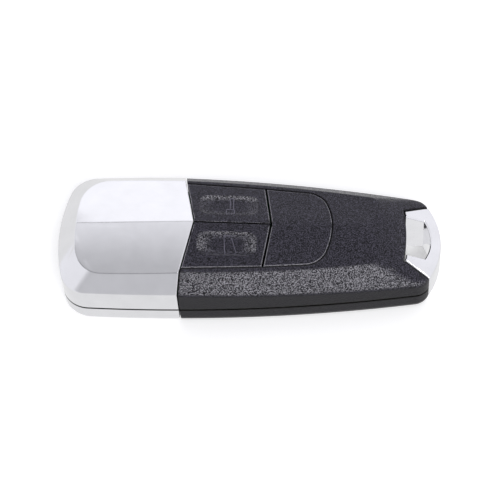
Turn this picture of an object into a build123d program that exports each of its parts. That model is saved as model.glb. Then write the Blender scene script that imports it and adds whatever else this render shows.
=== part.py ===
from build123d import *
import os
from functools import cache
from math import atan, cos, degrees, radians, sin, sqrt, tan

# A car key fob: a chrome-plated cap at one end, a grained black body with two push buttons and
# a blank panel, and a keyring bow at the other end that draws out as the head of a spare blade.
# Millimetres. +X from the chrome end to the keyring end, +Y away from the reader, +Z up, origin
# at the middle of the flat underside.

# Overall plan
fob_length = 78.0
half_width = 14.8
ring_half_width = 9.95
widest_from_chrome = 21.0
chrome_end_radius = 39.0
ring_end_radius = 17.0
chrome_corner_radius = 5.8
ring_corner_radius = 3.4
chrome_corner_growth_share = 0.33
ring_corner_growth_share = 0.2
ring_pull_share = 1.7
foot_radius = 1.6
foot_steps = 3
wall = 1.3
overrun = 2.0
match_gap = 0.01

# Side levels and the bevel round the top
parting_z = 4.2
parting_gap = 0.3
groove_depth = 0.5
bevel_z = 9.5
bevel_angle = 45.0
bevel_spare = 0.5
black_fall_angle = 2.2
black_rim_radius = 1.5
rim_steps = 2

# Roof: a long ridge with a shallow fall to each side, highest at the seam
ridge_z = 14.5
cross_slope_share = 0.15
chrome_rise_share = 0.038
chrome_crown = 0.08
chrome_crease_rise_share = 0.016
pocket_end_inset = 6.0
pocket_side_inset = 3.0
pocket_drop = 0.5
black_fall_share = 0.042
black_ridge_radius = 12.0
end_start_from_ring = 17.0
end_foot_drop = 4.2
end_tip_slope_share = 0.15

# Seam between chrome and black, a shallow V in plan
cap_length = 28.1
seam_crease_back = 2.4
seam_side_back = 3.1
seam_gap = 0.26

# Keypad opening, buttons and blank panel
keypad_from_ring = 21.9
keypad_side_inset = 0.83
keypad_step_inset = 1.73
keypad_corner_inset = 2.68
keypad_corner_back = 2.7
keypad_corner_radius = 5.0
keypad_gap = 0.2
button_split_gap = 0.3
button_share = 0.557
blank_gap = 0.4
blank_gap_back = 1.5
cap_roof = 1.2
cap_skirt = 1.1
cap_depth = 0.9
cap_edge = 0.12
flange_width = 0.7
flange_clearance = 0.1
leg_radius = 1.2
dish_end_margin = 1.8
dish_ridge_margin = 2.1
dish_side_margin = 2.3
dish_depth = 0.55
dish_corner_share = 0.3
corner_steps = 3
dish_rim_share = 1.06
dish_middle_share = 0.84
dish_floor_share = 0.5
dish_middle_depth_share = 0.7
stem_radius = 1.4
post_sides = 8

# Notch for the keyring bow
notch_length = 7.7
notch_mouth_length = 5.1
notch_flare = 2.8
notch_bulge = 0.6
bow_gap = 0.25
slot_edge = 0.3
slot_start = 0.2
slot_end_rim = 3.4
slot_bow = 1.2

# Bow neck, spare blade and its retaining spring
neck_length = 5.7
neck_cheek = 2.3
neck_side_gap = 0.5
neck_arm_width = 1.2
neck_base_z = 1.75
neck_height = 3.9
neck_root_length = 0.9
window_clearance = 0.3
neck_corner_radius = 0.8
blade_width = 7.0
blade_thickness = 2.0
blade_base_z = 2.3
blade_tip_gap = 1.4
blade_tip_length = 3.0
blade_root_gap = 0.9
blade_groove_width = 1.4
blade_groove_depth = 0.45
blade_groove_swing = 1.1
blade_groove_stop = 6.6
track_place_shares = (0, 0.12, 0.3, 0.42, 0.6, 0.7, 0.86, 1)
track_swing_shares = (0, 1, 1, -1, -1, 0.6, 0.6, -0.4)
pin_radius = 0.8
pin_setback = 1.2
spring_width = 1.6
spring_thickness = 0.2
spring_foot = 1.6
spring_half_span = 4.6
spring_rise = 0.85
spring_setback = 1.6
spring_clearance = 0.3

# Inner frame
frame_gap = 0.25
frame_wall = 0.9
frame_plate_z = 4.7
frame_plate = 1.7
frame_chrome_gap = 2.4
frame_neck_gap = 1.4
rail_clearance = 0.3
rail_width = 1.2

# Coin cell and its contacts
cell_radius = 10.0
cell_height = 3.2
cell_base_z = 1.95
cell_step_radius = 8.6
cell_step = 0.35
bay_clearance = 0.3
bay_end_gap = 1.2
contact_sheet = 0.25
contact_width = 3.0
contact_half_span = 6.0
contact_foot = 1.8
riser_gap = 0.15

# Circuit board and what it carries, with places taken from the coin cell
board_thickness = 0.8
board_edge_gap = 0.35
switch_length = 4.5
switch_width = 3.4
switch_height = 1.1
switch_nub_radius = 0.9
switch_nub_height = 0.2
chip_length = 6.0
chip_height = 0.9
chip_offset_x = 2.2
chip_y = -3.0
radio_chip_length = 4.0
radio_chip_offset_x = 2.7
radio_chip_y = 5.0
crystal_length = 3.2
crystal_width = 2.5
crystal_height = 0.8
crystal_offset_x = -3.8
crystal_y = 4.6
passive_length = 1.0
passive_width = 0.5
passive_height = 0.5
passive_pitch = 1.7
passive_columns = 3
passive_offset_x = 6.8
antenna_length = 11.0
antenna_width = 3.4
antenna_height = 2.4
antenna_setback = 5.2
antenna_flange = 1.4
antenna_core_inset = 0.5
transponder_length = 8.0
transponder_width = 3.0
transponder_height = 2.2
transponder_offset_x = -7.0
transponder_y = -3.6
screw_radius = 0.7
screw_head_radius = 1.3
screw_head_height = 0.6
screw_length = 2.0
screw_slot = 0.35
screw_slot_depth = 0.3
screw_side_inset = 6.4
screw_setback = 9.4
screw_clearance = 0.1

# Rubber keypad over the switches
membrane_thickness = 0.4
membrane_skirt = 0.8
membrane_margin = 0.3
membrane_end_reach = 3.25
membrane_top_z = 9.1
dome_base_radius = 2.5
dome_top_radius = 1.6
dome_wall = 0.4
dome_height = 0.9
dome_pip_radius = 0.7
dome_gap = 0.05
nub_gap = 0.1

# Derived: ends, side curve and crease
half_length = fob_length / 2
span = fob_length + 2 * overrun
widest_x = widest_from_chrome - half_length
side_run = fob_length - widest_from_chrome
side_fall = half_width - ring_half_width
side_radius = (side_run**2 + side_fall**2) / (2 * side_fall)
bevel_slope = tan(radians(bevel_angle))
crease_y = (bevel_z + half_width * bevel_slope - ridge_z) / (bevel_slope - cross_slope_share)
roof_clear_z = ridge_z + overrun

# Derived: seam, keypad and dishes
seam_tip_x = cap_length - half_length
seam_crease_x = seam_tip_x - seam_crease_back
seam_side_x = seam_tip_x - seam_side_back
crease_z = ridge_z - crease_y * cross_slope_share
keypad_tip_x = half_length - keypad_from_ring
keypad_corner_x = keypad_tip_x - keypad_corner_back
keypad_side_y = crease_y - keypad_side_inset
keypad_step_y = crease_y - keypad_step_inset
keypad_corner_y = crease_y - keypad_corner_inset
blank_gap_tip_x = seam_tip_x + button_share * (keypad_tip_x - seam_tip_x)
keypad_step_x = blank_gap_tip_x - blank_gap_back
cap_floor_z = bevel_z + cap_depth
leg_x = (blank_gap_tip_x + keypad_tip_x) / 2
leg_y = keypad_corner_y / 2
dish_x = (seam_tip_x + seam_crease_x + blank_gap_tip_x + keypad_step_x) / 4
dish_length = blank_gap_tip_x - seam_tip_x - 2 * dish_end_margin
dish_width = keypad_step_y - dish_ridge_margin - dish_side_margin
dish_y = dish_ridge_margin + dish_width / 2

# Derived: bow, neck and blade
blade_y = blade_width / 2
neck_half_width = blade_y + neck_cheek
notch_base_x = half_length - notch_length
notch_base_y = neck_half_width + neck_side_gap
slot_left_x = notch_base_x + slot_start
slot_right_x = half_length - slot_end_rim
slot_half_width = neck_half_width - neck_arm_width
inner_end_x = notch_base_x - wall
neck_left_x = notch_base_x - neck_length
neck_top_z = neck_base_z + neck_height
blade_top_z = blade_base_z + blade_thickness
blade_root_x = notch_base_x - blade_root_gap
pin_x = blade_root_x - pin_setback
spring_x = neck_left_x + spring_setback

# Derived: frame, cell, board and keypad
frame_left_x = frame_chrome_gap - half_length
frame_right_x = neck_left_x - frame_neck_gap
frame_top_z = frame_plate_z + frame_plate
board_top_z = frame_top_z + board_thickness
bay_radius = cell_radius + bay_clearance
cell_x = frame_left_x + bay_end_gap + frame_wall + bay_radius
rail_left_x = cell_x + bay_radius + frame_wall
blade_tip_x = rail_left_x + blade_tip_gap
antenna_x = frame_right_x - antenna_setback
membrane_half_length = switch_length / 2 + membrane_end_reach + membrane_skirt
membrane_left_x = dish_x - membrane_half_length
membrane_right_x = dish_x + membrane_half_length
membrane_half_width = dish_y + dome_base_radius + membrane_margin
screw_left_x = membrane_left_x - screw_head_radius - screw_clearance
screw_right_x = frame_right_x - screw_setback
screw_y = half_width - screw_side_inset


def circles_meet(first, first_radius, second, second_radius, side):
    """The point where two circles cross, the one furthest towards side (-1 or 1) along X."""
    between = second - first
    along = (first_radius**2 - second_radius**2 + between.length**2) / (2 * between.length)
    across = sqrt(first_radius**2 - along**2)
    middle = first + between.normalized() * along
    square = Vector(-between.Y, between.X).normalized() * across
    ends = [middle + square, middle - square]
    return max(ends, key=lambda point: point.X * side)


def plan_outline(inset, ring_pull=0):
    """Plan of the fob, drawn inset from its outer wall: four arcs with rounded corners."""
    side_centre = Vector(widest_x, half_width - side_radius)
    chrome_centre = Vector(chrome_end_radius - half_length, 0)
    ring_tip_x = half_length - ring_pull
    ring_centre = Vector(ring_tip_x - ring_end_radius, 0)
    side = side_radius - inset
    left = circles_meet(side_centre, side, chrome_centre, chrome_end_radius - inset, -1)
    right = circles_meet(side_centre, side, ring_centre, ring_end_radius - inset, 1)
    crown = Vector(widest_x, half_width - inset)
    back = ThreePointArc((left.X, left.Y), (crown.X, crown.Y), (right.X, right.Y))
    front = ThreePointArc((right.X, -right.Y), (crown.X, -crown.Y), (left.X, -left.Y))
    ring_end = ThreePointArc((right.X, right.Y), (ring_tip_x - inset, 0), (right.X, -right.Y))
    chrome_end = ThreePointArc((left.X, -left.Y), (inset - half_length, 0), (left.X, left.Y))
    sketch = make_face([back, ring_end, front, chrome_end])
    corners = sketch.vertices().sort_by(Axis.X)
    sketch = fillet(corners[:2], chrome_corner_radius + chrome_corner_growth_share * inset)
    corners = sketch.vertices().sort_by(Axis.X)
    return fillet(corners[-2:], ring_corner_radius + ring_corner_growth_share * inset)


def prism(sketch, low, high):
    """A straight block of a plan sketch between two levels."""
    return extrude(Pos(0, 0, low) * sketch, high - low)


def slab(low, high):
    """Everything between two levels."""
    return prism(Rectangle(span, span), low, high)


def patch(low_x, high_x, low_y, high_y):
    """Plan rectangle between two places each way."""
    middle = Pos((low_x + high_x) / 2, (low_y + high_y) / 2)
    return middle * Rectangle(high_x - low_x, high_y - low_y)


def bar(low_x, high_x, half_y):
    """Plan rectangle between two places along the fob, centred across it."""
    return patch(low_x, high_x, -half_y, half_y)


def disc(x, y, radius):
    """Plan circle at a place."""
    return Pos(x, y) * Circle(radius)


def post(x, y, radius):
    """Plan of a small post with flat sides, at a place."""
    return Pos(x, y) * RegularPolygon(radius, post_sides)


def tipped_slab(level, tilt):
    """Everything below a level that tips about the seam."""
    block = Pos(0, 0, -span) * Box(2 * span, 2 * span, 2 * span)
    return Pos(seam_crease_x, 0, level) * Rot(0, tilt, 0) * block


def rounding(radius, turn, steps):
    """Points on an arc that leaves a wall and turns inwards: how far in and how far up."""
    angles = [radians(turn) * step / steps for step in range(steps + 1)]
    return [(radius * (1 - cos(angle)), radius * sin(angle)) for angle in angles]


def oblong(length, width, radius):
    """Rectangle with its corners rounded in a few flat steps."""
    turn = rounding(radius, 90, corner_steps)
    back = [(length / 2 - step, width / 2 - radius + up) for step, up in turn]
    back += [(-x, y) for x, y in reversed(back)]
    front = [(x, -y) for x, y in reversed(back)]
    return make_face(Polyline(*back, *front, close=True))


def bevelled(tilt, rim_radius=0):
    """Straight walls with a ruled bevel above them, its lower edge rounded by a rim radius."""
    rise = ridge_z + bevel_spare - bevel_z
    rim_drop = rim_radius * tan(radians(bevel_angle / 2))
    steps = [(0, 0)]
    if rim_radius:
        steps = [(step, up - rim_drop) for step, up in rounding(rim_radius, bevel_angle, rim_steps)]
    run = rise / bevel_slope
    sections = []
    for step, up in [*steps, (run, rise)]:
        plan = plan_outline(step, max(up, 0) * ring_pull_share)
        block = prism(plan, 0, 2 * ridge_z) & tipped_slab(bevel_z + up, tilt)
        sections.append(block.faces().sort_by(Axis.Z)[-1])
    walls = prism(plan_outline(0), 0, ridge_z) & tipped_slab(bevel_z - rim_drop, tilt)
    return walls + loft(sections, ruled=True)


def footed(body):
    """A body with the foot of its outer wall rounded."""
    sections = []
    for step, up in rounding(foot_radius, 90, foot_steps):
        sections.append(Pos(0, 0, foot_radius - up) * plan_outline(step))
    return (body & slab(foot_radius, roof_clear_z)) + loft(sections[::-1], ruled=True)


def side_profile(points):
    """A closed face in the XZ plane from a ridge line, down to below the underside."""
    first, last = points[0], points[-1]
    edge = [(first[0], -ridge_z), *points, (last[0], -ridge_z)]
    return Plane.XZ * make_face(Polyline(*edge, close=True))


def gable(points):
    """A roof that falls away from its ridge line to both sides."""
    profile = side_profile(points)
    back = extrude(profile, amount=span, dir=(0, 1, -cross_slope_share))
    front = extrude(profile, amount=span, dir=(0, -1, -cross_slope_share))
    return back + front


def chrome_ridge_z(x):
    """Height of the ridge over the chrome end."""
    return ridge_z - (seam_tip_x - x) * chrome_rise_share


def roof_section(x):
    """Cross-section of the chrome end below its roof: two crowned halves that meet in a ridge."""
    ridge = (0, chrome_ridge_z(x))
    edge_z = crease_z - (seam_tip_x - x) * chrome_crease_rise_share
    crown_z = (ridge[1] + edge_z) / 2 + chrome_crown
    halves = [
        ThreePointArc(ridge, (side * crease_y / 2, crown_z), (side * crease_y, edge_z))
        for side in (-1, 1)
    ]
    far = (2 * crease_y, edge_z - crease_y * cross_slope_share)
    back = [(crease_y, edge_z), far, (far[0], -ridge_z)]
    front = [(-y, z) for y, z in reversed(back)]
    return Plane.YZ.offset(x) * make_face([*halves, *Polyline(*back, *front).edges()])


def chrome_roof():
    """Roof over the chrome cap: its ridge rises to the seam while its sides stay level."""
    places = (-half_length - overrun, seam_tip_x + overrun)
    return loft([roof_section(x) for x in places], ruled=True)


def black_roof(inset):
    """Roof over the black body, falling from the seam, with a soft ridge."""
    seam_z = ridge_z - inset
    left_x = seam_side_x - overrun
    right_x = half_length + overrun
    left_z = seam_z + (seam_tip_x - left_x) * black_fall_share
    right_z = seam_z - (right_x - seam_tip_x) * black_fall_share
    body = gable([(left_x, left_z), (right_x, right_z)])
    ridge = body.edges().filter_by(lambda edge: abs(edge.center().Y) < match_gap)
    return fillet(ridge.sort_by(Axis.Z)[-1], black_ridge_radius)


def end_slope(inset):
    """Fall of the top towards the keyring end, level from side to side: an arc, then straight."""
    top = ridge_z - inset
    start_x = half_length - end_start_from_ring
    foot = (notch_base_x, top - end_foot_drop)
    start = (start_x, top - (start_x - seam_tip_x) * black_fall_share)
    arc = TangentArc(start, foot, tangent=(1, -black_fall_share))
    tip_x = half_length + overrun
    tip = (tip_x, foot[1] - (tip_x - foot[0]) * end_tip_slope_share)
    left_x = seam_side_x - overrun
    left_z = top + (seam_tip_x - left_x) * black_fall_share
    rest = Polyline(foot, tip, (tip_x, -ridge_z), (left_x, -ridge_z), (left_x, left_z + overrun))
    lead = Polyline((left_x, left_z + overrun), (start_x, left_z + overrun), start)
    return extrude(Plane.XZ * make_face([arc, *rest.edges(), *lead.edges()]), amount=span, both=True)


def seam_region(gap):
    """Plan of everything on the keyring side of the seam, moved off it by a gap."""
    side_y = half_width + overrun
    far_x = half_length + overrun
    back = [(seam_tip_x, 0), (seam_crease_x, crease_y), (seam_side_x, side_y)]
    points = [(x + gap, y) for x, y in back]
    front = [(x, -y) for x, y in reversed(points[1:])]
    return make_face(Polyline(*points, (far_x, side_y), (far_x, -side_y), *front, close=True))


@cache
def chrome_outside():
    """Outside of the chrome end, up to the seam."""
    body = footed(bevelled(0)) & chrome_roof()
    return body - prism(seam_region(-seam_gap / 2), -overrun, roof_clear_z)


@cache
def black_outside():
    """Outside of the black end and of the bow that follows its form."""
    body = footed(bevelled(black_fall_angle, black_rim_radius)) & black_roof(0) & end_slope(0)
    return body & prism(seam_region(seam_gap / 2), -overrun, roof_clear_z)


def chrome_pocket():
    """Hollow of the upper cap: the inner plan up to the bevel, then a plain pocket to the roof."""
    left_x = -half_length + pocket_end_inset
    right_x = seam_side_x + overrun
    half_y = crease_y - pocket_side_inset
    places = (-half_length, seam_tip_x + overrun)
    ceiling = gable([(x, chrome_ridge_z(x) - wall) for x in places])
    pocket = prism(bar(left_x, right_x, half_y), 0, ridge_z) & ceiling
    return prism(plan_outline(wall), 0, bevel_z - pocket_drop) + pocket


def black_inside(inset):
    """Everything below the black roof and its end slope, both drawn inset."""
    body = black_roof(inset) & end_slope(inset)
    return body & prism(seam_region(seam_gap / 2), -overrun, roof_clear_z)


def black_pocket():
    """Hollow of the upper shell: the inner plan up to the bevel, then room for the keypad."""
    room = keypad_plan(flange_width + flange_clearance)
    room += bar(keypad_corner_x, inner_end_x, keypad_corner_y)
    body = prism(inner_plan(wall), 0, bevel_z - pocket_drop)
    return body + (prism(room, 0, ridge_z) & black_inside(wall))


def inner_plan(inset):
    """Plan of the hollow inside, or of what stands in it with an inset, up to the end wall."""
    return plan_outline(inset) & bar(-half_length, inner_end_x, half_width)


def notch_plan():
    """Plan of the notch that takes the bow: a bowed base and sides that open outwards."""
    reach = half_length + overrun - notch_base_x
    far_x = notch_base_x + reach
    far_y = notch_base_y + reach * notch_flare / notch_mouth_length
    corner = (notch_base_x, notch_base_y)
    base = ThreePointArc((corner[0], -corner[1]), (notch_base_x + notch_bulge, 0), corner)
    sides = Polyline(corner, (far_x, far_y), (far_x, -far_y), (corner[0], -corner[1]))
    return make_face([base, *sides.edges()])


def slot_plan():
    """Plan of the keyring slot, open towards the body and bowed at its outer end."""
    start = (slot_left_x, slot_half_width)
    end = (slot_right_x, slot_half_width)
    arc = ThreePointArc(end, (slot_right_x + slot_bow, 0), (end[0], -end[1]))
    sides = Polyline((end[0], -end[1]), (start[0], -start[1]), start, end)
    return make_face([arc, *sides.edges()])


def keypad_plan(grow):
    """Plan of the keypad opening, open at the seam and bowed at its far end."""
    slope = (keypad_side_y - keypad_step_y) / (keypad_step_x - seam_crease_x)
    left_x = seam_side_x - overrun
    left_y = keypad_step_y + slope * (keypad_step_x - left_x)
    back = [(left_x, left_y), (keypad_step_x, keypad_step_y), (keypad_corner_x, keypad_corner_y)]
    front = [(x, -y) for x, y in reversed(back)]
    end = ThreePointArc(back[-1], (keypad_tip_x, 0), front[0])
    rest = [Polyline(*front), Line(front[-1], back[0]), Polyline(*back)]
    sketch = make_face([end, *[edge for line in rest for edge in line.edges()]])
    corners = sketch.vertices().sort_by(Axis.X)[-2:]
    sketch = fillet(corners, keypad_corner_radius)
    return offset(sketch, grow) if grow else sketch


def blank_side(shift):
    """Plan of everything beyond the line between the buttons and the blank, moved along X."""
    side_slope = blank_gap_back / keypad_step_y
    tip_x = blank_gap_tip_x + shift
    side_x = tip_x - side_slope * half_width
    points = [(tip_x, 0), (side_x, half_width), (half_length, half_width)]
    return make_face(Polyline(*points, (half_length, -half_width), (side_x, -half_width), close=True))


def roof_level(x, y):
    """Height of the black roof above a point of the plan."""
    return ridge_z - (x - seam_tip_x) * black_fall_share - abs(y) * cross_slope_share


def neck_window():
    """Opening through the end wall for the neck of the bow."""
    plan = bar(inner_end_x - wall, notch_base_x + notch_bulge, neck_half_width + window_clearance)
    return prism(plan, neck_base_z - window_clearance, neck_top_z + window_clearance)


def upper_shell():
    """Black upper shell: bevelled, open over the keypad, notched for the bow."""
    body = black_outside() & slab(parting_z + parting_gap / 2, roof_clear_z)
    body -= black_pocket()
    body -= prism(keypad_plan(0), cap_floor_z, roof_clear_z)
    body -= prism(notch_plan(), -overrun, roof_clear_z)
    return body - neck_window()


def lower_shell():
    """Black lower shell: a shallow tray with a rounded foot, notched for the bow."""
    body = black_outside() & slab(-overrun, parting_z - parting_gap / 2)
    body -= prism(inner_plan(wall), wall, ridge_z)
    body -= prism(notch_plan(), -overrun, ridge_z)
    return body - neck_window()


def chrome_cap_upper():
    """Plated upper half of the cap, a thin shell with the roof's crisp ridge."""
    body = chrome_outside() & slab(parting_z + parting_gap / 2, roof_clear_z)
    return body - chrome_pocket()


def chrome_cap_lower():
    """Plated lower half of the cap, a shallow tray."""
    body = chrome_outside() & slab(-overrun, parting_z - parting_gap / 2)
    return body - prism(inner_plan(wall), wall, ridge_z)


def perimeter_seal():
    """Flat gasket between upper and lower halves, set back from the outside as a dark line."""
    plan = plan_outline(groove_depth) - inner_plan(wall)
    plan -= offset(notch_plan(), groove_depth)
    plan -= bar(inner_end_x - wall, half_length, neck_half_width + window_clearance)
    return prism(plan, parting_z - parting_gap / 2, parting_z + parting_gap / 2)


def cap(region):
    """A keypad cap: flush with the roof, hollow below, with a flange under the shell's edge."""
    plan = keypad_plan(-keypad_gap) & region
    brim = keypad_plan(flange_width - keypad_gap) & region
    body = black_outside() & prism(plan, cap_floor_z, roof_clear_z)
    tops = body.faces().filter_by(lambda face: face.normal_at().Z > cos(radians(bevel_angle)))
    rim = [edge for edge in tops.edges() if len(tops.filter_by(lambda face: edge in face.edges())) < 2]
    body = chamfer(rim, cap_edge)
    body += black_inside(wall + flange_clearance) & prism(brim, cap_floor_z, roof_clear_z)
    hollow = prism(offset(plan, -cap_skirt), cap_floor_z - overrun, roof_clear_z)
    return body - (black_inside(cap_roof) & hollow)


def degrees_of(share):
    """Angle of a slope given as rise over run."""
    return degrees(atan(share))


def dish(side):
    """Thumb dish in a button, a shallow bowl with an oblong rim that lies along the roof."""
    tip = Rot(-side * degrees_of(cross_slope_share), degrees_of(black_fall_share), 0)
    place = Pos(dish_x, side * dish_y, roof_level(dish_x, dish_y)) * tip
    steps = [
        (dish_depth / 2, dish_rim_share),
        (-dish_depth * dish_middle_depth_share, dish_middle_share),
        (-dish_depth, dish_floor_share),
    ]
    sections = []
    for level, share in steps:
        width = dish_width * share
        rim = oblong(dish_length * share, width, dish_corner_share * width)
        sections.append(place * Pos(0, 0, level) * rim)
    return loft(sections, ruled=True)


def button(side):
    """One push button: a dished cap on a stem that stands on its rubber dome."""
    half = Pos(0, side * (button_split_gap + half_width) / 2) * Rectangle(span, half_width)
    body = cap(half - blank_side(-blank_gap / 2)) - dish(side)
    stem_z = membrane_top_z + dome_height + dome_gap
    stem = post(dish_x, side * dish_y, stem_radius)
    return body + (prism(stem, stem_z, ridge_z) & black_inside(cap_roof))


def blank_panel():
    """Fixed panel in the third keypad place, on two legs that stand on the board."""
    body = cap(blank_side(blank_gap / 2))
    for side in (-1, 1):
        leg = post(leg_x, side * leg_y, leg_radius)
        body += prism(leg, board_top_z, ridge_z) & black_inside(cap_roof)
    return body


def bow_ring():
    """The visible ring of the bow, its top edges broken along the notch and round the slot."""
    ring = black_outside() & prism(offset(notch_plan(), -bow_gap), -overrun, ridge_z)
    ring -= prism(slot_plan(), -overrun, ridge_z)
    top = ring.faces().filter_by(lambda face: face.normal_at().Z > cos(radians(bevel_angle)))
    walls = ring.faces().filter_by(lambda face: abs(face.normal_at().Z) < match_gap)
    shared = [edge for edge in top.edges() if walls.filter_by(lambda face: edge in face.edges())]
    return chamfer(shared, slot_edge)


def keyring_bow():
    """Keyring bow with the neck that carries the spare blade into the body."""
    plan = bar(neck_left_x, slot_left_x + neck_root_length, neck_half_width)
    neck = prism(plan, neck_base_z, neck_top_z)
    neck = fillet(neck.edges().filter_by(Axis.Z).group_by(Axis.X)[0], neck_corner_radius)
    body = bow_ring() + neck - prism(slot_plan(), -overrun, ridge_z)
    body -= prism(blade_plan(), blade_base_z, blade_top_z)
    body -= prism(disc(pin_x, 0, pin_radius), 0, ridge_z)
    rest_half = spring_width / 2 + spring_clearance
    rest = bar(spring_x - rest_half, spring_x + rest_half, half_width)
    return body - prism(rest, 0, wall + spring_rise + spring_clearance)


def blade_plan():
    """Plan of the spare blade, pointed at its tip."""
    shoulder_x = blade_tip_x + blade_tip_length
    back = [(blade_root_x, blade_y), (shoulder_x, blade_y), (blade_tip_x, blade_y / 2)]
    front = [(x, -y) for x, y in reversed(back)]
    return make_face(Polyline(*back, *front, close=True))


def emergency_blade():
    """Spare blade with a stepped milled track on both faces."""
    body = prism(blade_plan(), blade_base_z, blade_top_z)
    start_x = blade_tip_x + blade_tip_length
    length = neck_left_x - blade_groove_stop - start_x
    points = []
    for place_share, swing_share in zip(track_place_shares, track_swing_shares):
        points.append((start_x + place_share * length, swing_share * blade_groove_swing))
    track = trace(Polyline(*points), blade_groove_width)
    body -= prism(track, blade_top_z - blade_groove_depth, blade_top_z + overrun)
    body -= prism(track, 0, blade_base_z + blade_groove_depth)
    return body - prism(disc(pin_x, 0, pin_radius), 0, ridge_z)


def blade_pin():
    """Cross pin that holds the blade in the neck."""
    return prism(disc(pin_x, 0, pin_radius), neck_base_z, neck_top_z)


def leaf(half_span, foot, rise, thickness, width):
    """Arched leaf of sheet metal on the XY plane, with flat feet, running along Y."""
    inner = half_span - foot
    outer_arc = ThreePointArc((-inner, thickness), (0, rise), (inner, thickness))
    inner_arc = ThreePointArc((-inner, 0), (0, rise - thickness), (inner, 0))
    ends = [
        Polyline((inner, thickness), (half_span, thickness), (half_span, 0), (inner, 0)),
        Polyline((-inner, thickness), (-half_span, thickness), (-half_span, 0), (-inner, 0)),
    ]
    edges = [outer_arc, inner_arc, *ends[0].edges(), *ends[1].edges()]
    return extrude(Plane.YZ * make_face(edges), amount=width / 2, both=True)


def key_detent_spring():
    """Leaf spring on the floor whose crown rests in the notch under the neck."""
    arch = leaf(spring_half_span, spring_foot, spring_rise, spring_thickness, spring_width)
    return Pos(spring_x, 0, wall) * arch


def contact_strip(low_y, high_y):
    """Plan of a strip as wide as the battery contacts."""
    return patch(cell_x - contact_width / 2, cell_x + contact_width / 2, low_y, high_y)


def battery_contact_negative():
    """Leaf under the coin cell with a riser up the side of the bay to the board."""
    arch = leaf(contact_half_span, contact_foot, cell_base_z - wall, contact_sheet, contact_width)
    riser_y = bay_radius + riser_gap
    tail = contact_strip(contact_half_span, riser_y + contact_sheet)
    riser = contact_strip(riser_y, riser_y + contact_sheet)
    body = Pos(cell_x, 0, wall) * arch + prism(tail, wall, wall + contact_sheet)
    return body + prism(riser, wall, frame_top_z)


def battery_contact_positive():
    """Leaf under the board that presses on the top of the coin cell."""
    rise = frame_top_z - cell_base_z - cell_height
    arch = leaf(contact_half_span, contact_foot, rise, contact_sheet, contact_width)
    return Pos(cell_x, 0, frame_top_z) * Rot(180, 0, 0) * arch


def coin_cell():
    """Coin cell: a wide can with a narrower cap on its underside."""
    can = prism(disc(cell_x, 0, cell_radius), cell_base_z + cell_step, cell_base_z + cell_height)
    lid = disc(cell_x, 0, cell_step_radius)
    return can + prism(lid, cell_base_z, cell_base_z + 2 * cell_step)


def screw_places():
    """Places of the four board screws."""
    return [Pos(x, side * screw_y) for x in (screw_left_x, screw_right_x) for side in (-1, 1)]


def screw_hole():
    """Plan of the clearance hole for a board screw."""
    return post(0, 0, screw_radius + screw_clearance)


def frame_plan(inset):
    """Plan of the inner frame, or of what follows its outline with an inset."""
    ends = bar(frame_left_x + inset, frame_right_x - inset, half_width)
    return plan_outline(wall + frame_gap + inset) & ends


def inner_frame():
    """Inner frame: a plate on a rim, with the battery bay and the rails that guide the blade."""
    body = prism(frame_plan(0), wall, frame_top_z)
    body -= prism(frame_plan(frame_wall), wall, frame_plate_z)
    bay = frame_plan(0) & bar(frame_left_x, rail_left_x, half_width)
    body += prism(bay, wall, frame_plate_z)
    rail_inner = blade_y + rail_clearance
    for low_y in (rail_inner, -rail_inner - rail_width):
        rail = patch(rail_left_x, frame_right_x, low_y, low_y + rail_width)
        body += prism(rail, wall, frame_plate_z)
    body -= prism(bar(rail_left_x, frame_right_x + overrun, rail_inner), 0, frame_plate_z)
    body -= prism(disc(cell_x, 0, bay_radius), 0, roof_clear_z)
    riser_half = contact_width / 2 + riser_gap
    riser_end = bay_radius + contact_sheet + 2 * riser_gap
    riser = patch(cell_x - riser_half, cell_x + riser_half, bay_radius - riser_gap, riser_end)
    body -= prism(riser, 0, roof_clear_z)
    for place in screw_places():
        body -= prism(place * screw_hole(), wall, roof_clear_z)
    return body


def circuit_board():
    """Circuit board that follows the plan of the fob and lies on the inner frame."""
    body = prism(frame_plan(board_edge_gap), frame_top_z, board_top_z)
    for place in screw_places():
        body -= prism(place * screw_hole(), 0, ridge_z)
    return body


def board_screws():
    """Four screws with slotted pan heads that hold the board down on the frame."""
    screws = []
    head_z = board_top_z + screw_head_height
    for place in screw_places():
        head = prism(place * post(0, 0, screw_head_radius), board_top_z, head_z)
        shank = post(0, 0, screw_radius)
        slot = place * Rectangle(2 * screw_head_radius, screw_slot)
        screw = head + prism(place * shank, board_top_z - screw_length, board_top_z)
        screws.append(screw - prism(slot, head_z - screw_slot_depth, ridge_z))
    return Compound(screws)


def switch(side):
    """Tact switch under a button, with its round nub."""
    body_top = board_top_z + switch_height
    body = block(dish_x, side * dish_y, switch_length, switch_width, switch_height)
    nub = post(dish_x, side * dish_y, switch_nub_radius)
    return body + prism(nub, body_top, body_top + switch_nub_height)


def block(x, y, length, width, height):
    """A plain component that lies on the board."""
    return prism(Pos(x, y) * Rectangle(length, width), board_top_z, board_top_z + height)


def passives():
    """Small resistors and capacitors round the chips."""
    chips = []
    for column in range(passive_columns):
        step = column * passive_pitch
        for row in (-1, 1):
            x = cell_x + passive_offset_x + step
            y = chip_y + row * passive_pitch
            chips.append(block(x, y, passive_width, passive_length, passive_height))
        x = membrane_right_x + passive_pitch + step
        chips.append(block(x, 0, passive_length, passive_width, passive_height))
    return Compound(chips)


def antenna_core():
    """Ferrite core of the low frequency antenna, a bar with a thick end at each side."""
    middle = Pos(antenna_x, 0, board_top_z + antenna_height / 2)
    waist_length = antenna_length - 2 * antenna_flange
    thin_width = antenna_width - 2 * antenna_core_inset
    waist = Box(antenna_width, waist_length, antenna_height)
    waist -= Box(thin_width, waist_length, antenna_height - 2 * antenna_core_inset)
    return middle * (Box(antenna_width, antenna_length, antenna_height) - waist)


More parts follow.
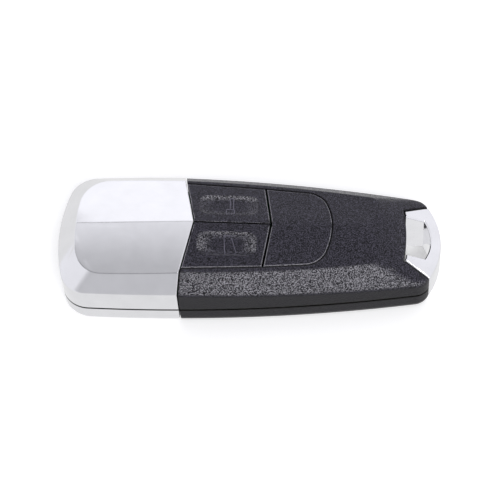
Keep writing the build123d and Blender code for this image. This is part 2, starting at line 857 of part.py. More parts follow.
def antenna_winding():
    """Copper winding round the waist of the ferrite core."""
    middle = Pos(antenna_x, 0, board_top_z + antenna_height / 2)
    length = antenna_length - 2 * antenna_flange
    outside = Box(antenna_width - antenna_core_inset, length, antenna_height - antenna_core_inset)
    inside_width = antenna_width - 2 * antenna_core_inset
    return middle * (outside - Box(inside_width, length, antenna_height - 2 * antenna_core_inset))


def keypad_membrane():
    """Rubber sheet over the switches with a skirt that stands on the board."""
    plan = bar(membrane_left_x, membrane_right_x, membrane_half_width)
    body = prism(plan, board_top_z, membrane_top_z)
    body -= prism(offset(plan, -membrane_skirt), board_top_z, membrane_top_z - membrane_thickness)
    for side in (-1, 1):
        hole = post(dish_x, side * dish_y, dome_base_radius - dome_wall)
        body -= prism(hole, board_top_z, membrane_top_z + overrun)
    return body


def frustum(place, low_radius, high_radius, low, high):
    """A flat-sided cone between two levels."""
    sections = [(low, low_radius), (high, high_radius)]
    return loft([place * Pos(0, 0, z) * post(0, 0, radius) for z, radius in sections], ruled=True)


def dome(side):
    """Rubber dome on the keypad sheet, with the pip that presses the switch."""
    place = Pos(dish_x, side * dish_y)
    base = membrane_top_z
    top = base + dome_height
    roof = top - dome_wall
    pip_z = board_top_z + switch_height + switch_nub_height + nub_gap
    body = frustum(place, dome_base_radius, dome_top_radius, base, top)
    body -= frustum(place, dome_base_radius - dome_wall, dome_top_radius - dome_wall, base, roof)
    return body + prism(place * post(0, 0, dome_pip_radius), pip_z, top)


def controller_chip():
    """Square controller chip over the coin cell."""
    return block(cell_x + chip_offset_x, chip_y, chip_length, chip_length, chip_height)


def radio_chip():
    """Smaller square radio chip beside the controller."""
    x = cell_x + radio_chip_offset_x
    return block(x, radio_chip_y, radio_chip_length, radio_chip_length, chip_height)


def crystal():
    """Metal crystal can."""
    x = cell_x + crystal_offset_x
    return block(x, crystal_y, crystal_length, crystal_width, crystal_height)


def transponder():
    """Moulded transponder bar at the chrome end of the board."""
    x = cell_x + transponder_offset_x
    return block(x, transponder_y, transponder_width, transponder_length, transponder_height)


pieces = {
    "upper_shell": upper_shell,
    "lower_shell": lower_shell,
    "chrome_cap_upper": chrome_cap_upper,
    "chrome_cap_lower": chrome_cap_lower,
    "perimeter_seal": perimeter_seal,
    "button_unlock": lambda: button(1),
    "button_lock": lambda: button(-1),
    "blank_panel": blank_panel,
    "keypad_membrane": keypad_membrane,
    "unlock_dome": lambda: dome(1),
    "lock_dome": lambda: dome(-1),
    "keyring_bow": keyring_bow,
    "emergency_blade": emergency_blade,
    "blade_pin": blade_pin,
    "key_detent_spring": key_detent_spring,
    "inner_frame": inner_frame,
    "coin_cell": coin_cell,
    "battery_contact_positive": battery_contact_positive,
    "battery_contact_negative": battery_contact_negative,
    "circuit_board": circuit_board,
    "board_screws": board_screws,
    "unlock_switch": lambda: switch(1),
    "lock_switch": lambda: switch(-1),
    "controller_chip": controller_chip,
    "radio_chip": radio_chip,
    "crystal": crystal,
    "passives": passives,
    "antenna_core": antenna_core,
    "antenna_winding": antenna_winding,
    "transponder": transponder,
}

os.makedirs("parts", exist_ok=True)
for node, make in pieces.items():
    export_step(make(), f"parts/{node}.step")
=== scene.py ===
import math
import bmesh
import bpy
from mathutils import Matrix, Vector
from mathutils.bvhtree import BVHTree


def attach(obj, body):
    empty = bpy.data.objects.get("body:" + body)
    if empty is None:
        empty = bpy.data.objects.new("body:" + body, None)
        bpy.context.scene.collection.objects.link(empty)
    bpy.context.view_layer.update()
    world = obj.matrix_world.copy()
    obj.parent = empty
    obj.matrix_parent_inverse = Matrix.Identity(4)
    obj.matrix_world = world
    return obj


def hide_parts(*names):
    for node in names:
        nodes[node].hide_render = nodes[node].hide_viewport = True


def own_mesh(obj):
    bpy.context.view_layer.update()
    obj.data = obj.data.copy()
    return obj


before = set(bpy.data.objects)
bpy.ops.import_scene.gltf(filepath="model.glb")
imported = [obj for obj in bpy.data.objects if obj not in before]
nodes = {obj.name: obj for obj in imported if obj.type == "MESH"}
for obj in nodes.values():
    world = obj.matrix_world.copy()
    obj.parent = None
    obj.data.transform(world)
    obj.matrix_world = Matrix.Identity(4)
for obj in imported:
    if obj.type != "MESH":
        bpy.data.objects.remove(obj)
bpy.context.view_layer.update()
MM = 0.001

# Camera, fitted to places on the fob and their mirror twins
AZIMUTH = 6.23
ELEVATION = 54.52
ROLL = 4.62
DISTANCE = 348.96 * MM
AIM = Vector((0.08, -1.07, 6.0)) * MM
LENS = 122.6
SENSOR = 36.0
CLIP_NEAR = 0.01
CLIP_FAR = 20.0

# Studio: brightness by the angle over the fob, from the front horizon (0 degrees) over the top
# to the back horizon (180 degrees). The angle swings by a few degrees from left to right.
HALF_TURN = 180
STUDIO = (
    (0, 0.61), (40, 0.61), (48, 0.33), (98, 0.33), (103, 0.44), (107, 0.52), (108.5, 0.59),
    (110, 0.70), (112, 0.92), (116, 0.92), (119, 0.45), (128, 0.45), (133, 1.14), (150, 1.14),
    (180, 0.95),
)
STUDIO_SWING = 6.6
SWING_FROM = -0.236
SWING_TO = -0.076
STUDIO_TINT = (1, 1, 1.04)

# Sides of the studio: where they begin and end along X, and their brightness by height or depth
LEFT_LEVEL = 0.93
LEFT_DARK = 0.3
LEFT_HEIGHTS = ((0.66, LEFT_LEVEL), (0.7, LEFT_DARK), (0.8, LEFT_DARK), (0.85, LEFT_LEVEL))
LEFT_FROM = 0.48
LEFT_TO = 0.68
RIGHT_FROM = 0.05
RIGHT_TO = 0.35
RIGHT_DEPTHS = ((0.35, 0.92), (0.5, 0.95))
RIGHT_HEIGHTS = ((0.08, 0.5), (0.2, 1))

# Lamp and floor
LAMP_PLACE = (0.22, -0.66, 0.7)
LAMP_SIZE = 0.25
LAMP_POWER = 3.0
FLOOR_HALF = 2.0
FLOOR_LOW = 0.79
FLOOR_HIGH = 0.81
FLOOR_MOTTLE_SIZE = 0.12
FLOOR_GLOW = 0.412
FLOOR_MIRRORED = 0.86

# Shared by the finishes: where a noise turns from its low to its high tone, and how fine it is
CLOUD_FROM = 0.3
CLOUD_TO = 0.7
NOISE_DETAIL = 2.0
BEVEL_SAMPLES = 6
BUMP_DEPTH = 0.05 * MM

# Plating, with a dark line where its two halves meet
PLATING_EDGE = 0.35 * MM
PLATING_LOW = 0.80
PLATING_HIGH = 0.84
PLATING_TINT = (1, 1, 1.03)
PLATING_ROUGHNESS = 0.06
PLATING_HAZE = 0.05
PLATING_HAZE_SIZE = 1.1 * MM
PLATING_HAZE_DETAIL = 3.0
PLATING_CLOUD_SIZE = 4 * MM
PLATING_WAVE = 0.02
PLATING_WAVE_SIZE = 16 * MM
PLATING_WAVE_DETAIL = 1.0
PLATING_GROOVE = 0.03
PLATING_GROOVE_HALF = 0.2 * MM
RING_EDGE = 0.15 * MM
RING_LOW = 0.84
RING_HIGH = 0.89

# Grained plastic: dark and light tones of the grain on tops, on walls (partly a smoother finish, partly
# painted shade) and in the painted highlight on slopes, and the upward tilts at which one goes over into
# the other
BLUISH = (0.93, 0.88, 1.2)
SHEEN_TINT = (0.9, 0.88, 1.0)
SHEEN = 0.28
GRAIN_SIZE = 0.2 * MM
GRAIN_DETAIL = 4.0
GRAIN_DEPTH = 0.12 * MM
GRAIN_BUMP = 1.0
PIT_SIZE = 0.6 * MM
FINE_SHARE = 0.95
GRAIN_LOW = 0.485
GRAIN_HIGH = 0.565
TOP_TONES = (0.001, 0.066)
WALL_TONES = (0.002, 0.008)
SLOPE_HIGHLIGHT_TONES = (0.0, 0.29)
HIGHLIGHT_TINT = (1, 0.98, 1.06)
GRAIN_ROUGHNESS = 0.3
GRAIN_ROUGHNESS_SPREAD = 0.15
WALL_TILTS = ((0.05, 1), (0.3, 0))
SLOPE_TILTS = ((0.2, 0), (0.55, 1), (0.72, 1), (0.88, 0))
SHELL_EDGE = 0.6 * MM
SHELL_EDGE_HIGHLIGHT = 0.06
TRAY_EDGE = 0.08 * MM
CAP_EDGE = 0.2 * MM
CAP_EDGE_HIGHLIGHT = 0.62

# Painted highlights on edges, by how far the rounded normal turns from the face (1 is not at all)
# and by its upward tilt. The gap between the buttons has none beside it.
EDGE_FULL_AT = 0.9
EDGE_NONE_AT = 0.985
EDGE_TILT_LOW = 0.25
EDGE_TILT_HIGH = 0.45
SPLIT_CLEAR = 0.45 * MM
SPLIT_HIGHLIT = 1.0 * MM

# Places that no light reaches: the joint between the shells, walls of the caps (by their tilt)
# and square edges of the shells (by their turn)
GROOVE_Z = 4.2 * MM
GROOVE_HALF = 0.42 * MM
GROOVE_SOFT = 0.06 * MM
GAP_TILTS = (0.2, 0.45)
SHARP_TURNS = (0.84, 0.9)

# Dishes of the buttons, with a painted highlight round their rims. The weights are for the ends,
# the near and the far rim of the unlock (1) and lock (-1) button, and change at the places across the
# dish.
DISH_X = -4.1 * MM
DISH_Y = 4.8 * MM
DISH_HALF_LENGTH = 6.0 * MM
DISH_HALF_WIDTH = 2.7 * MM
DISH_RINGS = ((0.5, 0), (0.85, 1), (1.0, 1), (1.08, 0))
DISH_WEIGHTS = {1: (0.2, 0.4, 1), -1: (0.9, 0.05, 0.5)}
DISH_PLACES = (0.15, 0.3, 0.7, 0.85)
DISH_POWER = 5.0
DISH_CLEAR = 1.2
DISH_HIGHLIT = 1.25

# Raised strokes in the dishes, as points in plan in millimetres
STROKE_WIDTH = 0.24 * MM
STROKE_RISE = 0.07 * MM
STROKE_SINK = 0.03 * MM
STROKE_STEP = 0.25 * MM
STROKE_START = 30 * MM
INK_LOW = 0.05
INK_HIGH = 0.16
INK_ROUGHNESS = 0.4
OPEN_MARK = (
    ((-4.6, 3.9), (-4.6, 2.7), (-2.9, 2.7), (-2.9, 3.9), (-4.6, 3.9)),
    ((-3.85, 4.1), (-3.9, 6.9), (-3.3, 6.9), (-3.15, 4.1)),
)
SHUT_MARK = (
    ((-4.4, -7.1), (-4.75, -2.85), (-3.0, -2.85)),
    ((-3.2, -3.2), (-2.15, -6.6)),
    ((-2.8, -7.1), (-1.5, -7.1)),
)

# Rubber domes under the buttons: how their edges are rounded
DOME_ROUND = 0.1 * MM
DOME_ROUND_STEPS = 2
DOME_ROUND_PROFILE = 0.5
DOME_SHARP = math.radians(30)
WELD = 0.001 * MM

# Plain finishes of the pieces inside: two close colours over marks of a size, which a stretch
# draws out into brushed lines
MARK_FROM = 0.35
MARK_TO = 0.65
MARK_DETAIL = 3.0
MARK_SPREAD = 0.15
MARK_BUMP = 0.1
PLAIN_FINISHES = {
    "seal_rubber": dict(
        pieces=["perimeter_seal"],
        dark=(0.002,) * 3, light=(0.004,) * 3, size=1.1 * MM, roughness=0.9),
    "keypad_rubber": dict(
        pieces=["keypad_membrane", "unlock_dome", "lock_dome"],
        dark=(0.06, 0.06, 0.07), light=(0.09, 0.09, 0.10), size=1.4 * MM, roughness=0.7),
    "frame_plastic": dict(
        pieces=["inner_frame"],
        dark=(0.05, 0.05, 0.055), light=(0.075, 0.075, 0.08), size=1.2 * MM, roughness=0.5),
    "blade_steel": dict(
        pieces=["emergency_blade", "blade_pin", "board_screws"],
        dark=(0.52, 0.52, 0.54), light=(0.66, 0.66, 0.68), size=2.5 * MM, roughness=0.3,
        metallic=1.0, bump=0.2, stretch=(1, 14, 14)),
    "spring_steel": dict(
        pieces=["key_detent_spring", "battery_contact_positive", "battery_contact_negative"],
        dark=(0.58, 0.58, 0.6), light=(0.7, 0.7, 0.72), size=2 * MM, roughness=0.25,
        metallic=1.0, stretch=(14, 1, 14)),
    "cell_steel": dict(
        pieces=["coin_cell"],
        dark=(0.6, 0.6, 0.61), light=(0.72, 0.72, 0.73), size=3 * MM, roughness=0.28, metallic=1.0),
    "board": dict(
        pieces=["circuit_board"],
        dark=(0.008, 0.10, 0.03), light=(0.015, 0.15, 0.05), size=3 * MM, roughness=0.4),
    "chip": dict(
        pieces=["controller_chip", "radio_chip", "transponder"],
        dark=(0.012,) * 3, light=(0.022,) * 3, size=0.7 * MM, roughness=0.55),
    "switch_metal": dict(
        pieces=["unlock_switch", "lock_switch", "crystal"],
        dark=(0.55, 0.55, 0.57), light=(0.66, 0.66, 0.68), size=1.7 * MM, roughness=0.3, metallic=1.0),
    "tin": dict(
        pieces=["passives"],
        dark=(0.5, 0.48, 0.45), light=(0.7, 0.69, 0.66), size=0.4 * MM, roughness=0.4, metallic=0.6),
    "ferrite": dict(
        pieces=["antenna_core"],
        dark=(0.03, 0.03, 0.032), light=(0.06, 0.06, 0.065), size=0.8 * MM, roughness=0.6),
    "copper": dict(
        pieces=["antenna_winding"],
        dark=(0.45, 0.17, 0.07), light=(0.72, 0.33, 0.16), size=1.1 * MM, roughness=0.3,
        metallic=1.0, bump=0.5, stretch=(1, 12, 1)),
}


def camera_axes():
    """Right, up and back of the camera."""
    a, e, r = math.radians(AZIMUTH), math.radians(ELEVATION), math.radians(ROLL)
    back = Vector((math.sin(a) * math.cos(e), -math.cos(a) * math.cos(e), math.sin(e)))
    level = Vector((math.cos(a), math.sin(a), 0))
    upward = back.cross(level)
    right = level * math.cos(r) - upward * math.sin(r)
    up = level * math.sin(r) + upward * math.cos(r)
    return right, up, back


def make_camera():
    right, up, back = camera_axes()
    data = bpy.data.cameras.new("camera")
    data.lens = LENS
    data.sensor_width = SENSOR
    data.clip_start = CLIP_NEAR
    data.clip_end = CLIP_FAR
    camera = bpy.data.objects.new("camera", data)
    bpy.context.scene.collection.objects.link(camera)
    place = AIM + back * DISTANCE
    camera.matrix_world = Matrix((
        (right.x, up.x, back.x, place.x),
        (right.y, up.y, back.y, place.y),
        (right.z, up.z, back.z, place.z),
        (0, 0, 0, 1),
    ))
    bpy.context.scene.camera = camera


class Graph:
    """Short calls for building the nodes of a material or a world."""

    def __init__(self, tree):
        self.tree = tree
        tree.nodes.clear()

    def add(self, kind, inputs=None, **settings):
        node = self.tree.nodes.new(kind)
        for name, value in settings.items():
            setattr(node, name, value)
        for name, value in (inputs or {}).items():
            self.set(node.inputs[name], value)
        return node

    def set(self, socket, value):
        if isinstance(value, bpy.types.NodeSocket):
            self.tree.links.new(value, socket)
        else:
            socket.default_value = value

    def math(self, operation, first, second=0.0, third=0.0):
        inputs = {0: first, 1: second, 2: third}
        return self.add("ShaderNodeMath", inputs, operation=operation).outputs[0]

    def ramp(self, value, stops):
        node = self.add("ShaderNodeValToRGB", {"Fac": value})
        points = node.color_ramp.elements
        while len(points) < len(stops):
            points.new(1.0)
        for point, (place, colour) in zip(points, stops):
            point.position = place
            point.color = (*colour, 1)
        return node.outputs["Color"]

    def cloud(self, noise, low, high):
        return self.ramp(noise, [(CLOUD_FROM, low), (CLOUD_TO, high)])

    def mix(self, factor, first, second):
        node = self.add("ShaderNodeMix", {0: factor, 6: first, 7: second}, data_type="RGBA")
        return node.outputs[2]

    def noise(self, size, detail=NOISE_DETAIL, vector=None):
        """Noise whose features are about so many metres across."""
        inputs = {"Scale": 1 / size, "Detail": detail, "Vector": vector or self.place()}
        return self.add("ShaderNodeTexNoise", inputs).outputs["Fac"]

    def place(self):
        return self.add("ShaderNodeTexCoord").outputs["Object"]

    def bevel(self, radius):
        return self.add("ShaderNodeBevel", {"Radius": radius}, samples=BEVEL_SAMPLES).outputs["Normal"]

    def upturned_edges(self, normal, full=EDGE_FULL_AT, none=EDGE_NONE_AT):
        """1 on an edge that faces up, where the bevelled normal turns from the face, and 0 elsewhere."""
        flat = self.add("ShaderNodeNewGeometry").outputs["True Normal"]
        turned = self.add("ShaderNodeVectorMath", {0: normal, 1: flat}, operation="DOT_PRODUCT")
        edge = self.ramp(turned.outputs["Value"], [(full, grey(1)), (none, grey(0))])
        tilt = self.add("ShaderNodeSeparateXYZ", {0: normal}).outputs["Z"]
        upward = self.ramp(tilt, [(EDGE_TILT_LOW, grey(0)), (EDGE_TILT_HIGH, grey(1))])
        return self.math("MULTIPLY", edge, upward)

    def step(self, value, low, high):
        """0 below low, 1 above high and a straight run between."""
        inputs = {"Value": value, "From Min": low, "From Max": high}
        return self.add("ShaderNodeMapRange", inputs).outputs["Result"]

    def off_groove(self, half):
        """0 within a half width of the joint between the shells and 1 elsewhere."""
        height = self.add("ShaderNodeSeparateXYZ", {0: self.place()}).outputs["Z"]
        away = self.math("ABSOLUTE", self.math("SUBTRACT", height, GROOVE_Z))
        return self.step(away, half, half + GROOVE_SOFT)

    def speckle(self, height, tones, tint):
        return self.ramp(height, [(GRAIN_LOW, grey(tones[0], tint)), (GRAIN_HIGH, grey(tones[1], tint))])

    def dish_reach(self, side):
        """How far a place is from the middle of a dish, 1 at its rim, and how far across alone."""
        axes = self.add("ShaderNodeSeparateXYZ", {0: self.place()}).outputs
        along = self.math("MULTIPLY_ADD", axes["X"], 1 / DISH_HALF_LENGTH, -DISH_X / DISH_HALF_LENGTH)
        shift = -side * DISH_Y / DISH_HALF_WIDTH
        across = self.math("MULTIPLY_ADD", axes["Y"], 1 / DISH_HALF_WIDTH, shift)
        powers = [self.math("POWER", self.math("ABSOLUTE", way), DISH_POWER) for way in (along, across)]
        return self.math("POWER", self.math("ADD", *powers), 1 / DISH_POWER), across

    def dish_rim(self, side):
        """1 round the rim of a button's dish, where a painted highlight goes, and 0 elsewhere, less at
        the rim nearest the front.
        """
        reach, across = self.dish_reach(side)
        ring = self.ramp(reach, [(level, grey(share)) for level, share in DISH_RINGS])
        ends, near, far = DISH_WEIGHTS[side]
        stops = [(place, grey(share)) for place, share in zip(DISH_PLACES, (near, ends, ends, far))]
        return self.math("MULTIPLY", ring, self.ramp(self.math("MULTIPLY_ADD", across, 0.5, 0.5), stops))

    def bump(self, height, strength, distance, normal=None):
        inputs = {"Height": height, "Strength": strength, "Distance": distance}
        if normal:
            inputs["Normal"] = normal
        return self.add("ShaderNodeBump", inputs).outputs["Normal"]

    def surface(self, shader):
        self.add("ShaderNodeOutputMaterial", {"Surface": shader})


def material(name):
    made = bpy.data.materials.new(name)
    made.use_nodes = True
    return made, Graph(made.node_tree)


def grey(level, tint=(1, 1, 1)):
    return tuple(level * t for t in tint)


def chrome(name, low, high, edge, jointed=True):
    """Bright plating: faintly uneven and hazy, with its edges just broken and any joint dark."""
    made, g = material(name)
    edges = g.bevel(edge)
    haze = g.noise(PLATING_HAZE_SIZE, PLATING_HAZE_DETAIL)
    colour = g.cloud(g.noise(PLATING_CLOUD_SIZE), grey(low, PLATING_TINT), grey(high, PLATING_TINT))
    if jointed:
        colour = g.mix(g.off_groove(PLATING_GROOVE_HALF), (*grey(PLATING_GROOVE), 1), colour)
    wave = g.noise(PLATING_WAVE_SIZE, PLATING_WAVE_DETAIL)
    shader = g.add("ShaderNodeBsdfPrincipled", {
        "Base Color": colour, "Metallic": 1.0,
        "Roughness": g.math("MULTIPLY_ADD", haze, PLATING_HAZE, PLATING_ROUGHNESS),
        "Normal": g.bump(wave, PLATING_WAVE, BUMP_DEPTH, edges),
    })
    g.surface(shader.outputs[0])
    return made


def grained(name, edge, edge_highlight_level, dish_side=0, in_gap=True):
    """Moulded plastic with a fine grain, darker on its walls (partly painted shade), with painted
    highlights on its slopes, round its dish and along its edges.

    The joint between the shells is left unlit, and so are walls that stand in a narrow gap and,
    on the shells, square edges.
    """
    made, g = material(name)
    edges = g.bevel(edge)
    fine = g.noise(GRAIN_SIZE, GRAIN_DETAIL)
    pits = g.math("MULTIPLY", g.noise(PIT_SIZE), 1 - FINE_SHARE)
    mixed = g.math("MULTIPLY_ADD", fine, FINE_SHARE, pits)
    tilt = g.add("ShaderNodeSeparateXYZ", {0: edges}).outputs["Z"]
    # Darker speckle on walls: partly their smoother finish, partly painted shade
    upright = g.ramp(tilt, [(level, grey(share)) for level, share in WALL_TILTS])
    plain = g.mix(upright, g.speckle(mixed, TOP_TONES, BLUISH), g.speckle(mixed, WALL_TONES, BLUISH))
    # Painted highlight: a lighter speckle on slopes and round the dish rim
    highlighted = g.speckle(mixed, SLOPE_HIGHLIGHT_TONES, HIGHLIGHT_TINT)
    slope = g.ramp(tilt, [(level, grey(share)) for level, share in SLOPE_TILTS])
    if dish_side:
        slope = g.math("MAXIMUM", slope, g.dish_rim(dish_side))
    colour = g.mix(slope, plain, highlighted)
    # Painted highlight: a light line along upturned edges, clear of the split between the buttons and of
    # the dish
    across = g.add("ShaderNodeSeparateXYZ", {0: g.place()}).outputs["Y"]
    off_split = g.step(g.math("ABSOLUTE", across), SPLIT_CLEAR, SPLIT_HIGHLIT)
    upturned_edges = g.math("MULTIPLY", g.upturned_edges(edges), off_split)
    if dish_side:
        upturned_edges = g.math("MULTIPLY", upturned_edges, g.step(g.dish_reach(dish_side)[0], DISH_CLEAR, DISH_HIGHLIT))
    colour = g.mix(upturned_edges, colour, (*grey(edge_highlight_level, HIGHLIGHT_TINT), 1))
    lit = g.off_groove(GROOVE_HALF)
    if in_gap:
        lit = g.math("MULTIPLY", lit, g.step(tilt, *GAP_TILTS))
    else:
        lit = g.math("MULTIPLY", lit, g.math("SUBTRACT", 1.0, g.upturned_edges(edges, *SHARP_TURNS)))
    colour = g.mix(lit, (0, 0, 0, 1), colour)
    sheen = g.mix(lit, (0, 0, 0, 1), (*SHEEN_TINT, 1))
    rough = g.math("MULTIPLY_ADD", fine, GRAIN_ROUGHNESS_SPREAD, GRAIN_ROUGHNESS)
    shader = g.add("ShaderNodeBsdfPrincipled", {
        "Base Color": colour, "Roughness": rough,
        "Specular IOR Level": SHEEN, "Specular Tint": sheen,
        "Normal": g.bump(mixed, GRAIN_BUMP, GRAIN_DEPTH, edges),
    })
    g.surface(shader.outputs[0])
    return made


def simple(name, dark, light, size, roughness, metallic=0.0, bump=MARK_BUMP, stretch=(1, 1, 1)):
    """Plain part material: two close colours over a noise that can be drawn out into brush marks."""
    made, g = material(name)
    mapped = g.add("ShaderNodeMapping", {"Vector": g.place(), "Scale": stretch}).outputs[0]
    marks = g.noise(size, MARK_DETAIL, mapped)
    shader = g.add("ShaderNodeBsdfPrincipled", {
        "Base Color": g.ramp(marks, [(MARK_FROM, dark), (MARK_TO, light)]), "Metallic": metallic,
        "Roughness": g.math("MULTIPLY_ADD", marks, MARK_SPREAD, roughness - MARK_SPREAD / 2),
        "Normal": g.bump(marks, bump, BUMP_DEPTH),
    })
    g.surface(shader.outputs[0])
    return made


def dress(names, look):
    for name in names:
        mesh = nodes[name].data
        mesh.materials.clear()
        mesh.materials.append(look)


def make_materials():
    dress(["chrome_cap_upper", "chrome_cap_lower"],
          chrome("chrome", PLATING_LOW, PLATING_HIGH, PLATING_EDGE))
    dress(["keyring_bow"], chrome("ring_chrome", RING_LOW, RING_HIGH, RING_EDGE, jointed=False))
    dress(["upper_shell"], grained("shell_grain", SHELL_EDGE, SHELL_EDGE_HIGHLIGHT, in_gap=False))
    dress(["lower_shell"], grained("tray_grain", TRAY_EDGE, SHELL_EDGE_HIGHLIGHT, in_gap=False))
    dress(["button_unlock"], grained("unlock_grain", CAP_EDGE, CAP_EDGE_HIGHLIGHT, 1))
    dress(["button_lock"], grained("lock_grain", CAP_EDGE, CAP_EDGE_HIGHLIGHT, -1))
    dress(["blank_panel"], grained("blank_grain", CAP_EDGE, CAP_EDGE_HIGHLIGHT))
    for name, finish in PLAIN_FINISHES.items():
        look = {key: value for key, value in finish.items() if key != "pieces"}
        dress(finish["pieces"], simple(name, **look))


def stroke(points, tree):
    """Points and faces of a raised ribbon that follows the surface under it."""
    path = [Vector(point) * MM for point in points]
    samples = []
    for start, end in zip(path, path[1:]):
        count = max(1, round((end - start).length / STROKE_STEP))
        side = (end - start).normalized().orthogonal()
        samples += [(start.lerp(end, step / count), side) for step in range(count + 1)]
    profile = (
        (-STROKE_WIDTH / 2, -STROKE_SINK), (-STROKE_WIDTH / 4, STROKE_RISE),
        (STROKE_WIDTH / 4, STROKE_RISE), (STROKE_WIDTH / 2, -STROKE_SINK),
    )
    verts = []
    for place, side in samples:
        for out, rise in profile:
            spot = place + side * out
            hit = tree.ray_cast(Vector((spot.x, spot.y, STROKE_START)), Vector((0, 0, -1)))[0]
            verts.append((spot.x, spot.y, hit.z + rise))
    width = len(profile)
    faces = []
    for row in range(len(samples) - 1):
        low, high = row * width, (row + 1) * width
        faces += [(low + k, high + k, high + k + 1, low + k + 1) for k in range(width - 1)]
        faces.append((low + width - 1, high + width - 1, high, low))
    last = (len(samples) - 1) * width
    faces += [tuple(reversed(range(width))), tuple(range(last, last + width))]
    return verts, faces


def make_mark(name, node, body, strokes):
    """Raised strokes in the dish of a button."""
    depsgraph = bpy.context.evaluated_depsgraph_get()
    tree = BVHTree.FromObject(nodes[node], depsgraph)
    verts, faces = [], []
    for points in strokes:
        more, around = stroke(points, tree)
        faces += [tuple(k + len(verts) for k in face) for face in around]
        verts += more
    mesh = bpy.data.meshes.new(name)
    mesh.from_pydata(verts, [], faces)
    mark = bpy.data.objects.new(name, mesh)
    bpy.context.scene.collection.objects.link(mark)
    low, high = grey(INK_LOW, BLUISH), grey(INK_HIGH, BLUISH)
    mesh.materials.append(simple(name + "_ink", low, high, GRAIN_SIZE, INK_ROUGHNESS))
    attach(mark, body)


def make_dome(name, node):
    """A rubber dome with rounded edges."""
    mesh = nodes[node].data.copy()
    mesh.name = name
    shape = bmesh.new()
    shape.from_mesh(mesh)
    bmesh.ops.remove_doubles(shape, verts=shape.verts, dist=WELD)
    sharp = [edge for edge in shape.edges if edge.calc_face_angle(0) > DOME_SHARP]
    bmesh.ops.bevel(shape, geom=sharp, offset=DOME_ROUND, segments=DOME_ROUND_STEPS,
                    profile=DOME_ROUND_PROFILE, affect="EDGES")
    shape.to_mesh(mesh)
    shape.free()
    dome = bpy.data.objects.new(name, mesh)
    bpy.context.scene.collection.objects.link(dome)
    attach(dome, "body")
    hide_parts(node)
    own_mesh(dome)


def make_world():
    """A white studio: bright behind the fob, greyer overhead and in front. The camera sees white."""
    world = bpy.data.worlds.new("studio")
    world.use_nodes = True
    bpy.context.scene.world = world
    g = Graph(world.node_tree)
    axes = g.add("ShaderNodeSeparateXYZ", {0: g.add("ShaderNodeTexCoord").outputs["Generated"]})
    ahead = g.math("MULTIPLY", axes.outputs["Y"], -1.0)
    angle = g.math("ARCTAN2", g.math("ABSOLUTE", axes.outputs["Z"]), ahead)
    swing = g.step(axes.outputs["X"], SWING_FROM, SWING_TO)
    swing = g.math("MULTIPLY_ADD", swing, 2 * STUDIO_SWING / HALF_TURN, -STUDIO_SWING / HALF_TURN)
    stops = [(degrees / HALF_TURN, grey(level, STUDIO_TINT)) for degrees, level in STUDIO]
    over = g.ramp(g.math("MULTIPLY_ADD", angle, 1 / math.pi, swing), stops)
    leftward = g.math("MULTIPLY", axes.outputs["X"], -1.0)
    share = g.ramp(leftward, [(LEFT_FROM, grey(0)), (LEFT_TO, grey(1))])
    stops = [(height, grey(level, STUDIO_TINT)) for height, level in LEFT_HEIGHTS]
    light = g.mix(share, over, g.ramp(axes.outputs["Z"], stops))
    stops = [(depth, grey(level, STUDIO_TINT)) for depth, level in RIGHT_DEPTHS]
    right = g.ramp(axes.outputs["Y"], stops)
    low = g.ramp(axes.outputs["Z"], [(height, grey(level)) for height, level in RIGHT_HEIGHTS])
    right = g.add("ShaderNodeMix", {0: 1.0, 6: right, 7: low}, data_type="RGBA", blend_type="MULTIPLY")
    share = g.ramp(axes.outputs["X"], [(RIGHT_FROM, grey(0)), (RIGHT_TO, grey(1))])
    light = g.mix(share, light, right.outputs[2])
    rays = g.add("ShaderNodeLightPath")
    lit = g.add("ShaderNodeBackground", {"Color": light, "Strength": 1.0})
    white = g.add("ShaderNodeBackground", {"Color": (1, 1, 1, 1), "Strength": 1.0})
    inputs = {0: rays.outputs["Is Camera Ray"], 1: lit.outputs[0], 2: white.outputs[0]}
    mix = g.add("ShaderNodeMixShader", inputs)
    g.add("ShaderNodeOutputWorld", {"Surface": mix.outputs[0]})


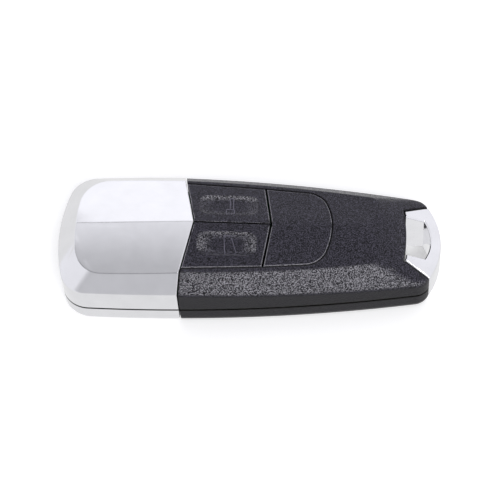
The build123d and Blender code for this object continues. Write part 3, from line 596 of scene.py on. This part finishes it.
def make_floor():
    """A pale floor that keeps the fob's shadow, white to the camera and bright in the plating."""
    mesh = bpy.data.meshes.new("floor")
    half = FLOOR_HALF
    corners = [(-half, -half, 0), (half, -half, 0), (half, half, 0), (-half, half, 0)]
    mesh.from_pydata(corners, [], [(0, 1, 2, 3)])
    floor = bpy.data.objects.new("floor", mesh)
    bpy.context.scene.collection.objects.link(floor)
    made, g = material("floor")
    rays = g.add("ShaderNodeLightPath")
    mottle = g.cloud(g.noise(FLOOR_MOTTLE_SIZE), grey(FLOOR_LOW), grey(FLOOR_HIGH))
    diffuse = g.add("ShaderNodeBsdfDiffuse", {"Color": mottle})
    glow = g.math("MULTIPLY", rays.outputs["Is Camera Ray"], FLOOR_GLOW)
    lit = g.add("ShaderNodeEmission", {"Color": (1, 1, 1, 1), "Strength": glow})
    seen = g.add("ShaderNodeAddShader", {0: diffuse.outputs[0], 1: lit.outputs[0]})
    mirrored = g.math("MAXIMUM", rays.outputs["Is Glossy Ray"], rays.outputs["Is Transmission Ray"])
    plain = g.add("ShaderNodeEmission", {"Color": (*grey(FLOOR_MIRRORED), 1), "Strength": 1.0})
    both = g.add("ShaderNodeMixShader", {0: mirrored, 1: seen.outputs[0], 2: plain.outputs[0]})
    g.surface(both.outputs[0])
    mesh.materials.append(made)


def make_lamp():
    """One soft lamp over the front edge, which picks out the grain of the near bevel."""
    data = bpy.data.lights.new("lamp", "AREA")
    data.shape = "SQUARE"
    data.size = LAMP_SIZE
    data.energy = LAMP_POWER
    lamp = bpy.data.objects.new("lamp", data)
    bpy.context.scene.collection.objects.link(lamp)
    lamp.location = LAMP_PLACE
    lamp.rotation_euler = Vector(LAMP_PLACE).to_track_quat("Z", "Y").to_euler()


make_camera()
make_world()
make_floor()
make_lamp()
make_materials()
make_mark("open_mark", "button_unlock", "unlock_button", OPEN_MARK)
make_mark("shut_mark", "button_lock", "lock_button", SHUT_MARK)
make_dome("unlock_dome_soft", "unlock_dome")
make_dome("lock_dome_soft", "lock_dome")

bpy.context.scene.view_settings.view_transform = "Standard"
